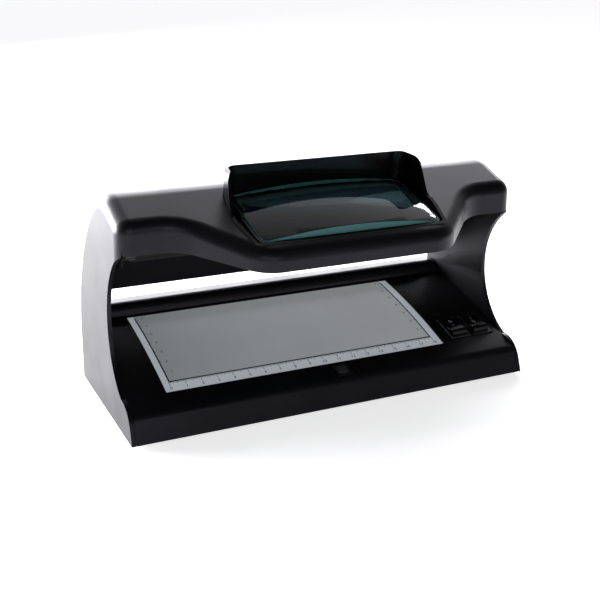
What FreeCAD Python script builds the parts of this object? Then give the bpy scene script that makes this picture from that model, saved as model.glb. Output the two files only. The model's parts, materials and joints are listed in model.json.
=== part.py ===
import FreeCAD, Part
import math
import os
from FreeCAD import Vector

# Counterfeit bill detector: a hooded UV lamp housing over a back-lit measuring plate.
# Millimetres. +X is the operator's right, +Y the back, +Z up. The origin is the middle of
# the footprint, on the surface that the rubber feet stand on.

# ---------------------------------------------------------------- driving dimensions
WIDTH = 265.0
FRONT_Y = -69.5
BASE_FRONT_Y = -50.0
FLANK_Y = -30.5
REAR_Y = 69.5
FOOT_HEIGHT = 2.0
TOP_Z = 135.0
WALL = 2.5
SIDE_LEAN = 0.025
FAR = 400.0

# hood, side view
REAR_FOOT_Y = 67.0
REAR_ARC_Z = 36.0
REAR_ARC_R = 115.0
CREST_R = 30.0
TOP_SLOPE = 0.345
NOSE_SLOPE = 0.335
NOSE_BEND_R = 120.0
NOSE_BEND_SETBACK = 7.0
BAND_HEIGHT = 18.0
BAND_SLOPE = 0.175
MOUTH_ARC_R = 48.0
MOUTH_SPLIT_Y = 20.0
TOE_HEIGHT = 9.8
TOE_ARC_SHARE = 0.42
TOE_ARC_BULGE = (-1.6, 2.8)
HEEL_Y = -29.3
HEEL_Z = 22.5
THROAT_Y = -23.0
THROAT_Z = 26.0
REAR_SKIRT_Z = 55.8
REAR_SKIRT_SLOPE = 0.3538

# hood, seen from above
NOSE_HALF = 59.0
NOSE_ROOT_HALF = 95.0
NOSE_OUTER_R = 24.0
NOSE_INNER_R = 25.0

# hood roundings
EDGE_R = 9.0

# base
BASE_ARC_R = 450.0
PLATE_FRONT_Y = -22.0
PLATE_FRONT_Z = 25.1
PLATE_FRONT_SLOPE = 17.65
TOP_FRONT_S = -24.0
TOP_BACK_S = 75.5
LIP_EDGE_R = 7.0
RIDGE_Z = 49.2
RIDGE_EDGE_R = 2.0
BASE_BACK_Y = 67.5
BASE_GAP = 0.2
COVER_THICK = 2.0
VENT_COUNT = 9
VENT_PITCH = 8.0
VENT_W = 3.0
VENT_YS = (30.0, 50.0)

# measuring plate
PLATE_LEFT = -105.0
PLATE_RIGHT = 84.0
PLATE_S0 = -8.5
PLATE_S1 = 73.0
PLATE_THICK = 3.0
PLATE_SINK = 0.4
PLATE_LEDGE = 4.0
PLATE_GAP = 0.15
TRAY_RIM = 3.0
TRAY_FLOOR = 2.0

# rocker switches
SWITCH_XS = (99.6, 116.0)
SWITCH_S = 4.5
BEZEL_W = 15.0
BEZEL_L = 21.0
BEZEL_T = 2.0
BEZEL_EDGE_R = 0.6
BODY_W = 13.0
BODY_L = 19.2
BODY_DEPTH = 12.5
SWITCH_WALL = 0.6
PANEL_GAP = 0.1
POCKET_MARGIN = 0.7
POCKET_DEPTH = 1.2
ROCKER_R = 8.5
ROCKER_EDGE_R = 0.5
ROCKER_TIP = 4.2
ROCKER_V = 13.0
ROCKER_TILT = 12.0
ROCKER_SIDE_GAP = 0.25
ROCKER_END_GAP = 0.3
ROCKER_BELLY = 4.2
PIVOT_BELOW_BEZEL = 2.2
PIVOT_PIN_R = 1.1
PIVOT_FIT = 0.05
PIVOT_PIN_LENGTH = 0.7
TERMINAL_W = 4.8
TERMINAL_T = 0.8
TERMINAL_L = 6.0
TERMINAL_PITCH = 6.6

# lens well and guard
WELL_FRONT_Y = -62.0
WELL_FRONT_HALF = 61.0
WELL_BACK_Y = -4.0
WELL_BACK_HALF = 59.8
WELL_WIDE_Y = -38.0
WELL_WIDE_HALF = 65.5
WELL_CORNER_R = 5.0
WELL_WIDE_R = 20.0
WELL_BACK_R = 9.0
LENS_HALF = 56.5
LENS_FRONT_Y = -59.4
LENS_BACK_Y = -7.6
LENS_EDGE_Z = 129.65
LENS_SLOPE = 0.27
LENS_R = 400.0
LENS_EDGE_T = 1.6
LENS_CORNER_R = 5.0
LENS_GAP = 0.2
GUARD_T = 2.2
GUARD_TOP_Z = 148.0
GUARD_LOW_Z = 108.0
GUARD_LEAN_X = 0.0
GUARD_LEAN_Y = 0.2
GUARD_REF_Z = 129.0
GUARD_WING_FOOT_Y = -32.0
GUARD_WING_TOP_Y = -22.5
GUARD_TOP_R = 7.0
GUARD_FOOT_R = 6.0
GUARD_PROUD = 0.4
GUARD_BROW = ((67.0, 134.0, 8.0), (60.8, 148.0, 6.0))
GUARD_FIT = 0.15
LEDGE_W = 3.5
LEDGE_T = 2.0
RETAINER_T = 2.0
RETAINER_SCREW_OUT = 0.6
RETAINER_SCREW_YS = (-46.0, -20.0)
LUG_YS = (-44.0, -16.0)
LUG_DEPTH = 4.0
LUG_T = 2.5

# lamps: miniature fluorescent, 6 W, T5
TUBE_R = 7.95
TUBE_LENGTH = 212.0
TUBE_GLASS_T = 0.8
CAP_LENGTH = 9.0
CAP_LIP = 0.3
PIN_R = 1.2
PIN_LENGTH = 7.0
PIN_PITCH = 4.75
UV_TUBES = {"front": (6.0, 112.0), "rear": (27.0, 98.0)}
WHITE_TUBE_YZ = (26.0, 19.0)
HOLDER_T = 8.5
HOLDER_W = 18.0
HOLDER_GAP = 0.2
HOLDER_PIN_FIT = 0.15

# mains inlet, two-pole
INLET_X = -95.0
INLET_Z = 24.0
INLET_FLANGE_W = 34.0
INLET_FLANGE_H = 15.0
INLET_FLANGE_T = 1.5
INLET_BODY_W = 20.0
INLET_BODY_H = 11.5
INLET_BODY_DEPTH = 16.0
INLET_SOCKET_R = 3.9
INLET_PIN_PITCH = 8.6
INLET_SOCKET_DEPTH = 12.5
INLET_PIN_R = 1.2
INLET_PIN_LENGTH = 9.0
INLET_TAG_LENGTH = 6.0
INLET_SCREW_PITCH = 27.0

# magnetic head
HEAD_X = 6.0
HEAD_S = -16.0
HEAD_BEZEL = 10.5
HEAD_WINDOW = 9.0
HEAD_BEZEL_PROUD = 0.5
HEAD_BEZEL_SEAT = 0.15
HEAD_BLOCK = 7.6
HEAD_DEPTH = 7.0
HEAD_CORE_R = 2.6
HEAD_CORE_T = 0.9
HEAD_CORE_INSET = 0.4
HEAD_CORE_PROUD = 0.2
HEAD_SPRING_T = 0.4
HEAD_SPRING_W = 4.0
HEAD_SPRING_REACH = 7.0
SENSOR_BOARD = (28.0, 12.0)
SENSOR_BOARD_LIFT = 1.5
SENSOR_BOARD_GAP = 4.0

# sheet-metal, boards and small parts
SHEET_T = 0.6
BOARD_T = 1.6
SCREW_R = 1.5
SCREW_HEAD_R = 2.8
SCREW_HEAD_T = 1.8
BOSS_R = 3.6
SCREW_FIT = 0.2
FOOT_R = 7.0
FOOT_INSET_X = 18.0
FOOT_INSET_Y = 15.0
FOOT_STEM_R = 2.8
FOOT_STEM_TIP = 1.5
HOOD_BOSS_YS = (-24.0, 46.0)
HOOD_BOSS_TOP = 17.0
BASE_BOSS_X = 80.0
BASE_BOSS_YS = (-33.0, 52.0)
SCREW_BITE = 9.0
BOARD_HALF = 60.0
BOARD_Y0 = -20.0
BOARD_Y1 = 13.0
BOARD_LIFT = 3.0
BOARD_SCREW_INSET = 4.0
CHOKE_SIZE = (18.0, 14.0, 13.0)
CHOKE_XS = (-36.0, 4.0)
CHOKE_Y = 3.0
CAP_SIZES = ((-14.0, 5.0, 13.0), (28.0, 5.0, 13.0))
CAP_Y = 4.0
CAN_EDGE_R = 0.8
TRANSISTOR_SIZE = (10.0, 4.5, 9.0)
TRANSISTOR_XS = (-52.0, 44.0)
CONNECTOR_SIZE = (22.0, 6.0, 7.0)
CONNECTOR_Y = -14.0
UV_SHEET = ((2.5, 122.0), (4.0, 127.0), (16.0, 124.0), (36.0, 105.0), (43.0, 88.0), (43.0, 80.0))
WHITE_SHEET = ((15.0, 24.0), (18.0, 7.5), (34.0, 7.5), (37.0, 24.0))
LAMP_RIB_T = 2.5
LAMP_RIB = ((-2.0, 104.0), (-2.0, TOP_Z), (FAR, TOP_Z), (FAR, 78.0), (44.0, 78.0), (20.0, 84.0))
UV_SHEET_MARGIN = 3.0
WHITE_SHEET_MARGIN = 12.0
HOLDER_EDGE_R = 2.0
DUCT_Y0 = 38.0
DUCT_Y1 = 47.0
DUCT_TOP_Z = 88.0
DUCT_DEPTH = 5.0
DUCT_WALL = 1.2
LEADS_R = 1.6


# ---------------------------------------------------------------- small helpers
def yz(y, z, x=0.0):
    return Vector(x, y, z)


def xy(x, y, z=0.0):
    return Vector(x, y, z)


def rounded(corners, point=yz):
    """Closed face from (a, b, radius) corners; radius 0 keeps a corner sharp."""
    edges = []
    first = None
    last = None
    count = len(corners)
    for i in range(count):
        a, b, radius = corners[i]
        here = point(a, b)
        before = point(*corners[i - 1][:2]) - here
        after = point(*corners[(i + 1) % count][:2]) - here
        if radius:
            half = before.getAngle(after) / 2
            reach = radius / math.tan(half)
            start = here + before.normalize() * reach
            end = here + after.normalize() * reach
            middle = here + (before + after).normalize() * (radius / math.sin(half) - radius)
            arc = Part.Arc(start, middle, end).toShape()
        else:
            start = here
            end = here
            arc = None
        if last is not None:
            edges.append(Part.makeLine(last, start))
        if first is None:
            first = start
        if arc is not None:
            edges.append(arc)
        last = end
    edges.append(Part.makeLine(last, first))
    return Part.Face(Part.Wire(edges))


def sharp(points, point=yz):
    return rounded([(a, b, 0) for a, b in points], point)


def across(face, x0, x1):
    """Extrude a side-view face from x0 to x1."""
    moved = face.copy()
    moved.translate(Vector(x0, 0, 0))
    return moved.extrude(Vector(x1 - x0, 0, 0))


def box(x0, x1, y0, y1, z0, z1):
    return Part.makeBox(x1 - x0, y1 - y0, z1 - z0, Vector(x0, y0, z0))


def rod(radius, start, end):
    axis = end - start
    return Part.makeCylinder(radius, axis.Length, start, axis)


def fuse(shapes):
    whole = shapes[0]
    for shape in shapes[1:]:
        whole = whole.fuse(shape)
    return whole.removeSplitter()


def fillet(shape, radius, wanted):
    edges = [edge for edge in shape.Edges if wanted(edge)]
    return shape.makeFillet(radius, edges)


def middle_of(edge):
    return edge.valueAt((edge.FirstParameter + edge.LastParameter) / 2)


def single(shape):
    """The one solid of a boolean result."""
    return max(shape.Solids, key=lambda solid: solid.Volume)


def lay(shape, origin, pitch_deg):
    """Turn a shape built about the origin by pitch_deg about X and move it to origin."""
    placed = shape.copy()
    placed.rotate(Vector(0, 0, 0), Vector(1, 0, 0), pitch_deg)
    placed.translate(origin)
    return placed


def export(name, shape):
    shape.exportStep("parts/" + name + ".step")


def group(shapes):
    """Identical pieces in one node, each its own solid."""
    return Part.makeCompound(shapes)


def bent_sheet(points, thickness, x0, x1):
    """Folded strip through (y, z) points, thickened to the left of its path."""
    wire = Part.makePolygon([yz(y, z) for y, z in points])
    face = wire.makeOffset2D(thickness, 2, True, True)
    return across(face, x0, x1)


# ---------------------------------------------------------------- shared geometry
def half_width(z):
    """Outer half width of the hood's leaning side walls at height z."""
    return WIDTH / 2 - SIDE_LEAN * (z - FOOT_HEIGHT)


def taper_slab(inset, z0, z1):
    """Everything between the two leaning side planes, moved in by inset."""
    low = half_width(z0) - inset
    high = half_width(z1) - inset
    corners = [Vector(-low, -FAR, z0), Vector(low, -FAR, z0), Vector(high, -FAR, z1)]
    corners += [Vector(-high, -FAR, z1), Vector(-low, -FAR, z0)]
    return Part.Face(Part.makePolygon(corners)).extrude(Vector(0, 2 * FAR, 0))


def nose_top_z(y):
    """Height of the sharp top line of the hood's nose, before rounding."""
    return BEND_Z + NOSE_SLOPE * (y - BEND_Y)


def band_low_z(y):
    return BAND_CORNER_Z + BAND_SLOPE * (y - FLANK_Y)


def lens_plane_z(y):
    return LENS_EDGE_Z + LENS_SLOPE * y


def base_point(s, depth=0.0):
    """Point on the base's arched top, s along the arc from the ruler line, depth below it."""
    angle = math.radians(PLATE_FRONT_SLOPE) - s / BASE_ARC_R
    radius = BASE_ARC_R - depth
    return yz(BASE_ARC_Y - radius * math.sin(angle), BASE_ARC_Z + radius * math.cos(angle))


def toe_y(z):
    """Outer face of the base's sloping front at height z."""
    return BASE_FRONT_Y + TOE_SLOPE * (z - FOOT_HEIGHT)


def base_pitch(s):
    return PLATE_FRONT_SLOPE - math.degrees(s / BASE_ARC_R)


def base_arc(s0, s1, depth=0.0):
    ends = base_point(s0, depth), base_point(s1, depth)
    return Part.Arc(ends[0], base_point((s0 + s1) / 2, depth), ends[1]).toShape()


def base_band(s0, s1, depth0, depth1, x0, x1):
    """Solid that follows the base's arched top between two depths."""
    upper = base_arc(s0, s1, depth0)
    lower = base_arc(s1, s0, depth1)
    sides = [Part.makeLine(base_point(s1, depth0), base_point(s1, depth1))]
    sides.append(Part.makeLine(base_point(s0, depth1), base_point(s0, depth0)))
    wire = Part.Wire([upper, sides[0], lower, sides[1]])
    return across(Part.Face(wire), x0, x1)


BASE_ARC_Y = PLATE_FRONT_Y + BASE_ARC_R * math.sin(math.radians(PLATE_FRONT_SLOPE))
BASE_ARC_Z = PLATE_FRONT_Z - BASE_ARC_R * math.cos(math.radians(PLATE_FRONT_SLOPE))

BASE_CREST = base_point(TOP_FRONT_S)
TOE_SLOPE = (BASE_CREST.y - BASE_FRONT_Y) / (BASE_CREST.z - FOOT_HEIGHT)

REAR_ARC_Y = REAR_Y - REAR_ARC_R
CREST_SINE = (TOP_Z - REAR_ARC_Z - CREST_R) / (REAR_ARC_R - CREST_R)
CREST_COSINE = math.sqrt(1 - CREST_SINE ** 2)
CREST_Y = REAR_ARC_Y + (REAR_ARC_R - CREST_R) * CREST_COSINE
CREST_Z = TOP_Z - CREST_R
TOP_ANGLE = math.atan(TOP_SLOPE)
TOP_START = yz(CREST_Y - CREST_R * math.sin(TOP_ANGLE), CREST_Z + CREST_R * math.cos(TOP_ANGLE))
BEND_Y = FLANK_Y + NOSE_BEND_SETBACK
BEND_Z = TOP_START.z + TOP_SLOPE * (BEND_Y - TOP_START.y)
BAND_CORNER_Z = nose_top_z(FLANK_Y) - BAND_HEIGHT


# ---------------------------------------------------------------- hood
def hood_outline():
    """Side view of the hood with its nose, the side walls' open mouth included."""
    nose_y = FRONT_Y - WALL * 4
    crest_join = yz(REAR_ARC_Y + REAR_ARC_R * CREST_COSINE, REAR_ARC_Z + REAR_ARC_R * CREST_SINE)
    rear_middle = math.asin(CREST_SINE) / 2
    rear_mid = yz(REAR_ARC_Y + REAR_ARC_R * math.cos(rear_middle),
                  REAR_ARC_Z + REAR_ARC_R * math.sin(rear_middle))
    crest_middle = (math.asin(CREST_SINE) + math.pi / 2 + TOP_ANGLE) / 2
    crest_mid = yz(CREST_Y + CREST_R * math.cos(crest_middle),
                   CREST_Z + CREST_R * math.sin(crest_middle))
    bend = NOSE_BEND_R * math.tan((TOP_ANGLE - math.atan(NOSE_SLOPE)) / 2)
    bend_in = yz(BEND_Y + bend * math.cos(TOP_ANGLE), BEND_Z + bend * math.sin(TOP_ANGLE))
    bend_out = yz(BEND_Y - bend, nose_top_z(BEND_Y - bend))
    bend_mid = yz(BEND_Y, BEND_Z + bend * (math.sin(TOP_ANGLE) - NOSE_SLOPE) / 4)
    toe = yz(BASE_FRONT_Y, FOOT_HEIGHT)
    toe_top = yz(toe_y(FOOT_HEIGHT + TOE_HEIGHT), FOOT_HEIGHT + TOE_HEIGHT)
    heel = yz(HEEL_Y, HEEL_Z)
    toe_mid = toe_top + (heel - toe_top) * TOE_ARC_SHARE + yz(*TOE_ARC_BULGE)
    throat = yz(THROAT_Y, THROAT_Z)
    mouth_top = yz(FLANK_Y + 1.0, band_low_z(FLANK_Y + 1.0))
    chord = mouth_top - throat
    sag = MOUTH_ARC_R - math.sqrt(MOUTH_ARC_R ** 2 - (chord.Length / 2) ** 2)
    mouth_mid = throat + chord * 0.5 + yz(chord.z, -chord.y).normalize() * sag
    nose_low = yz(nose_y, band_low_z(nose_y))
    nose_high = yz(nose_y, nose_top_z(nose_y))
    foot = yz(REAR_FOOT_Y, FOOT_HEIGHT)
    rear_low = yz(REAR_Y, REAR_ARC_Z)
    edges = [
        Part.makeLine(toe, toe_top),
        Part.Arc(toe_top, toe_mid, heel).toShape(),
        Part.makeLine(heel, throat),
        Part.Arc(throat, mouth_mid, mouth_top).toShape(),
        Part.makeLine(mouth_top, nose_low),
        Part.makeLine(nose_low, nose_high),
        Part.makeLine(nose_high, bend_out),
        Part.Arc(bend_out, bend_mid, bend_in).toShape(),
        Part.makeLine(bend_in, TOP_START),
        Part.Arc(TOP_START, crest_mid, crest_join).toShape(),
        Part.Arc(crest_join, rear_mid, rear_low).toShape(),
        Part.makeLine(rear_low, foot),
        Part.makeLine(foot, toe),
    ]
    return Part.Face(Part.Wire(edges))


def hood_plan():
    """The hood from above, down to the nose's S-shaped front."""
    right = [(FAR, FLANK_Y, 0), (NOSE_ROOT_HALF, FLANK_Y, NOSE_INNER_R)]
    right.append((NOSE_HALF, FRONT_Y, NOSE_OUTER_R))
    left = [(-x, y, r) for x, y, r in reversed(right)]
    return rounded(right + left + [(-FAR, FAR, 0), (FAR, FAR, 0)], xy)


def hood_solid(inset):
    """The hood's outer form, or the form of its hollow when inset is the wall."""
    outline = hood_outline()
    plan = hood_plan()
    if inset:
        outline = outline.makeOffset2D(-inset)
        plan = plan.makeOffset2D(-inset)
    body = across(outline, -FAR / 2, FAR / 2).common(taper_slab(inset, -WALL, GUARD_TOP_Z))
    mouth_z = (THROAT_Z + BAND_CORNER_Z) / 2
    kept = plan.extrude(Vector(0, 0, FAR))
    kept.translate(Vector(0, 0, mouth_z))
    outside = box(-FAR / 2, FAR / 2, -FAR / 2, FLANK_Y + WALL * 2, mouth_z, GUARD_TOP_Z).cut(kept)
    body = single(body.cut(outside))

    def outer_edge(edge):
        point = middle_of(edge)
        on_side = abs(abs(point.x) - half_width(point.z) + inset) < 0.01
        along_back = point.y > CREST_Y and point.z > FOOT_HEIGHT + inset + 1
        along_top = point.z > nose_top_z(FLANK_Y) - inset - 1
        upright = point.y < FLANK_Y + inset + 0.1 and point.z > BAND_CORNER_Z
        run = edge.Vertexes[-1].Point - edge.Vertexes[0].Point
        crest = abs(run.z) < math.hypot(run.x, run.y) and point.y < FLANK_Y + inset + 0.01
        crest = crest and point.z > (nose_top_z(point.y) + band_low_z(point.y)) / 2
        return crest or on_side and (along_back or along_top or upright)

    return fillet(body, EDGE_R - inset, outer_edge)


def rear_skirt_z(y):
    """The hood's rear lower edge, the top of the slot at the back."""
    return REAR_SKIRT_Z - REAR_SKIRT_SLOPE * (y - REAR_FOOT_Y + 1)


def well_outline(z, extra=0.0, lean=True):
    """Plan of the lens well and guard at height z, grown by extra."""
    rise = z - GUARD_REF_Z if lean else 0.0
    narrow = GUARD_LEAN_X * rise
    back_y = WELL_BACK_Y - GUARD_LEAN_Y * rise
    right = [(WELL_FRONT_HALF - narrow, WELL_FRONT_Y, WELL_CORNER_R)]
    right.append((WELL_WIDE_HALF - narrow, WELL_WIDE_Y, WELL_WIDE_R))
    right.append((WELL_BACK_HALF - narrow, back_y, WELL_BACK_R))
    left = [(-x, y, r) for x, y, r in reversed(right)]
    face = rounded(right + left, xy)
    if extra:
        face = face.makeOffset2D(extra)
    face.translate(Vector(0, 0, z))
    return face


def well_solid(inset):
    """Lens well below the roof line and the leaning guard above it."""
    low = well_outline(GUARD_REF_Z, -inset)
    low.translate(Vector(0, 0, GUARD_LOW_Z - GUARD_REF_Z))
    shaft = low.extrude(Vector(0, 0, GUARD_REF_Z - GUARD_LOW_Z))
    top_z = GUARD_TOP_Z + (WALL if inset else 0)
    sections = [well_outline(z, -inset).OuterWire for z in (GUARD_REF_Z, top_z)]
    return shaft.fuse(Part.makeLoft(sections, True, True)).removeSplitter()


def lens_slab(depth0, depth1, y0=-FAR, y1=FAR):
    """Everything between two planes parallel to the lens edge plane, by depth below it."""
    corners = [(y0, lens_plane_z(y0) - depth0), (y1, lens_plane_z(y1) - depth0)]
    corners += [(y1, lens_plane_z(y1) - depth1), (y0, lens_plane_z(y0) - depth1)]
    return across(sharp(corners), -FAR, FAR)


def lens_plan(extra):
    y0 = LENS_FRONT_Y - extra
    y1 = LENS_BACK_Y + extra
    half = LENS_HALF + extra
    radius = max(LENS_CORNER_R + extra, 0.5)
    corners = [(-half, y0, radius), (half, y0, radius), (half, y1, radius), (-half, y1, radius)]
    face = rounded(corners, xy)
    face.translate(Vector(0, 0, GUARD_LOW_Z))
    return face.extrude(Vector(0, 0, GUARD_TOP_Z - GUARD_LOW_Z))


GUARD_LUGS = [(side * (WELL_WIDE_HALF + BOSS_R + 1), y) for side in (-1, 1) for y in LUG_YS]
RETAINER_SCREWS = [(side * (LENS_HALF + RETAINER_SCREW_OUT), y) for side in (-1, 1) for y in RETAINER_SCREW_YS]


def mouth_clearance(rise):
    """Space between the side walls below the front band, raised by rise, and the rear skirt."""
    front = [(-FAR, -FAR), (-FAR, band_low_z(-FAR) + rise), (MOUTH_SPLIT_Y, band_low_z(MOUTH_SPLIT_Y) + rise)]
    rear = [(MOUTH_SPLIT_Y, rear_skirt_z(MOUTH_SPLIT_Y)), (FAR, rear_skirt_z(FAR)), (FAR, -FAR)]
    return across(sharp(front + rear), -FAR, FAR).common(taper_slab(WALL, -WALL, GUARD_TOP_Z))


def hood_shell():
    shell = hood_solid(0.0).cut(hood_solid(WALL))
    shell = shell.cut(mouth_clearance(0.0))
    nose_inside = hood_plan().makeOffset2D(-WALL).extrude(Vector(0, 0, GUARD_TOP_Z))
    shell = shell.cut(mouth_clearance(WALL * 1.2).common(nose_inside))
    hollow = hood_solid(WALL / 2)
    for side in (-1, 1):
        x0 = side * (TUBE_LENGTH / 2 + HOLDER_GAP + HOLDER_T)
        rib = across(sharp(LAMP_RIB), x0, x0 + side * LAMP_RIB_T).common(hollow)
        shell = shell.fuse(rib)
        for y in HOOD_BOSS_YS:
            x = side * hood_boss_x()
            boss = rod(BOSS_R, xy(x, y, COVER_TOP), xy(x, y, HOOD_BOSS_TOP))
            boss = boss.common(taper_slab(WALL / 2, 0, GUARD_TOP_Z))
            bite = rod(SCREW_R, xy(x, y, COVER_TOP), xy(x, y, COVER_TOP + SCREW_BITE))
            shell = shell.fuse(boss).cut(bite)
    for x, y in GUARD_LUGS:
        top = lug_top_z(y)
        boss = rod(BOSS_R, xy(x, y, top), xy(x, y, TOP_Z)).common(hollow)
        shell = shell.fuse(boss).cut(rod(SCREW_R, xy(x, y, top), xy(x, y, top + SCREW_BITE / 2)))
    opening = well_outline(GUARD_REF_Z, GUARD_FIT)
    opening.translate(Vector(0, 0, GUARD_LOW_Z - GUARD_REF_Z))
    return single(shell.cut(opening.extrude(Vector(0, 0, GUARD_TOP_Z - GUARD_LOW_Z))))


def hood_boss_x():
    return half_width(COVER_TOP) - WALL - BOSS_R + 0.6


def lug_top_z(y):
    return lens_plane_z(y) - LUG_DEPTH


def lens_guard():
    guard = well_solid(0.0).cut(well_solid(GUARD_T))
    ledge = well_solid(GUARD_T / 2).common(lens_slab(LENS_GAP / 2, LEDGE_T))
    window = lens_plan(-LEDGE_W)
    guard = guard.fuse(ledge.cut(window))
    ring = lens_plan(LENS_GAP + LENS_EDGE_T).cut(lens_plan(LENS_GAP))
    guard = guard.fuse(ring.common(well_solid(GUARD_T / 2)).common(lens_slab(-LENS_EDGE_T, LEDGE_T)))
    guard = guard.common(lens_slab(-FAR, LEDGE_T + RETAINER_T + 1))
    foot_y = GUARD_WING_FOOT_Y
    kept = [(-FAR, -FAR, 0), (-FAR, nose_top_z(-FAR) + GUARD_PROUD, 0)]
    kept += [(foot_y, nose_top_z(foot_y) + GUARD_PROUD, GUARD_FOOT_R)]
    kept += [(GUARD_WING_TOP_Y, GUARD_TOP_Z, GUARD_TOP_R), (FAR, GUARD_TOP_Z, 0), (FAR, -FAR, 0)]
    guard = guard.common(across(rounded(kept), -FAR, FAR))
    brow = [(-x, z, r) for x, z, r in GUARD_BROW] + list(reversed(GUARD_BROW))
    brow = rounded([(-FAR, -FAR, 0), (-FAR, GUARD_BROW[0][1], 0)] + brow
                   + [(FAR, GUARD_BROW[0][1], 0), (FAR, -FAR, 0)], lambda x, z: Vector(x, 0, z))
    brow.translate(Vector(0, -FAR, 0))
    guard = guard.common(brow.extrude(Vector(0, FAR * 2, 0)))
    for x, y in GUARD_LUGS:
        side = math.copysign(1, x)
        lug = rod(BOSS_R, xy(x, y, lug_top_z(y) - LUG_T), xy(x, y, lug_top_z(y)))
        inner_x = side * (WELL_BACK_HALF + 1)
        web = box(min(x, inner_x), max(x, inner_x), y - BOSS_R, y + BOSS_R,
                  lug_top_z(y) - LUG_T, lug_top_z(y))
        hole = rod(SCREW_R + SCREW_FIT, xy(x, y, GUARD_LOW_Z - WALL), xy(x, y, lug_top_z(y) + 1))
        guard = guard.fuse(lug.fuse(web).cut(well_solid(GUARD_T / 2))).cut(hole)
    for x, y in RETAINER_SCREWS:
        z = lens_plane_z(y) - LEDGE_T - RETAINER_T
        guard = guard.cut(rod(SCREW_R / 2, xy(x, y, z), xy(x, y, z + RETAINER_T + LEDGE_T - 0.4)))
    return single(guard.removeSplitter())


def magnifier_lens():
    middle_y = (LENS_FRONT_Y + LENS_BACK_Y) / 2
    normal = Vector(0, -LENS_SLOPE, 1).normalize()
    corner = math.hypot(LENS_HALF, (LENS_BACK_Y - LENS_FRONT_Y) / 2)
    rise = LENS_EDGE_T + LENS_R - math.sqrt(LENS_R ** 2 - corner ** 2)
    centre = xy(0, middle_y, lens_plane_z(middle_y)) + normal * (rise - LENS_R)
    cap = Part.makeSphere(LENS_R, centre)
    blank = lens_plan(0.0).common(lens_slab(-LENS_R / 4, 0))
    return single(blank.common(cap))


def lens_retainer():
    frame = lens_plan(LENS_GAP + LENS_EDGE_T).cut(lens_plan(-LEDGE_W))
    frame = frame.common(lens_slab(LEDGE_T, LEDGE_T + RETAINER_T)).common(well_solid(GUARD_T + LENS_GAP))
    for x, y in RETAINER_SCREWS:
        ear = rod(BOSS_R, xy(x, y, GUARD_LOW_Z), xy(x, y, GUARD_TOP_Z))
        ear = ear.common(lens_slab(LEDGE_T, LEDGE_T + RETAINER_T)).common(well_solid(GUARD_T + LENS_GAP))
        frame = frame.fuse(ear)
        frame = frame.cut(rod(SCREW_R / 2 + SCREW_FIT / 2, xy(x, y, GUARD_LOW_Z), xy(x, y, GUARD_TOP_Z)))
    return single(frame)


def upright_screw(x, y, head_top, length, radius=SCREW_R):
    """Pan-head screw driven upwards; the head hangs below head_top."""
    scale = radius / SCREW_R
    head = rod(SCREW_HEAD_R * scale, xy(x, y, head_top - SCREW_HEAD_T * scale), xy(x, y, head_top))
    slot = SCREW_HEAD_R * scale * 0.6
    arm = 0.4 * scale
    deep = head_top - SCREW_HEAD_T * scale
    cross = box(x - slot, x + slot, y - arm, y + arm, deep, deep + arm * 2)
    cross = cross.fuse(box(x - arm, x + arm, y - slot, y + slot, deep, deep + arm * 2))
    return head.cut(cross).fuse(rod(radius, xy(x, y, head_top), xy(x, y, head_top + length)))


# ---------------------------------------------------------------- base
COVER_TOP = FOOT_HEIGHT + COVER_THICK


def toe_inner_y(z):
    """Inner face of the base's front wall at height z."""
    return toe_y(z) + WALL * math.hypot(1, TOE_SLOPE)


def base_outline():
    """Side view of the base, with the ridge along its back."""
    start = base_point(TOP_BACK_S)
    radius = RIDGE_Z - start.z
    nose = radius * (1 - math.sqrt(0.5))
    top = yz(start.y + radius, RIDGE_Z)
    corners = [top, yz(BASE_BACK_Y, RIDGE_Z), yz(BASE_BACK_Y, FOOT_HEIGHT)]
    corners += [yz(BASE_FRONT_Y, FOOT_HEIGHT), base_point(TOP_FRONT_S)]
    edges = [base_arc(TOP_FRONT_S, TOP_BACK_S)]
    edges.append(Part.Arc(start, yz(start.y + nose, RIDGE_Z - nose), top).toShape())
    edges += [Part.makeLine(a, b) for a, b in zip(corners, corners[1:])]
    return Part.Face(Part.Wire(edges))


def switch_block(margin, top, bottom):
    """Block in the switches' own frame, around both bezels."""
    x0 = min(SWITCH_XS) - BEZEL_W / 2 - margin
    x1 = max(SWITCH_XS) + BEZEL_W / 2 + margin
    half = BEZEL_L / 2 + margin
    return place_switch(box(x0, x1, -half, half, bottom, top), 0.0)


def place_switch(shape, x):
    placed = lay(shape, base_point(SWITCH_S), base_pitch(SWITCH_S))
    placed.translate(Vector(x, 0, 0))
    return placed


def place_head(shape):
    placed = lay(shape, base_point(HEAD_S), base_pitch(HEAD_S))
    placed.translate(Vector(HEAD_X, 0, 0))
    return placed


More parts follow.
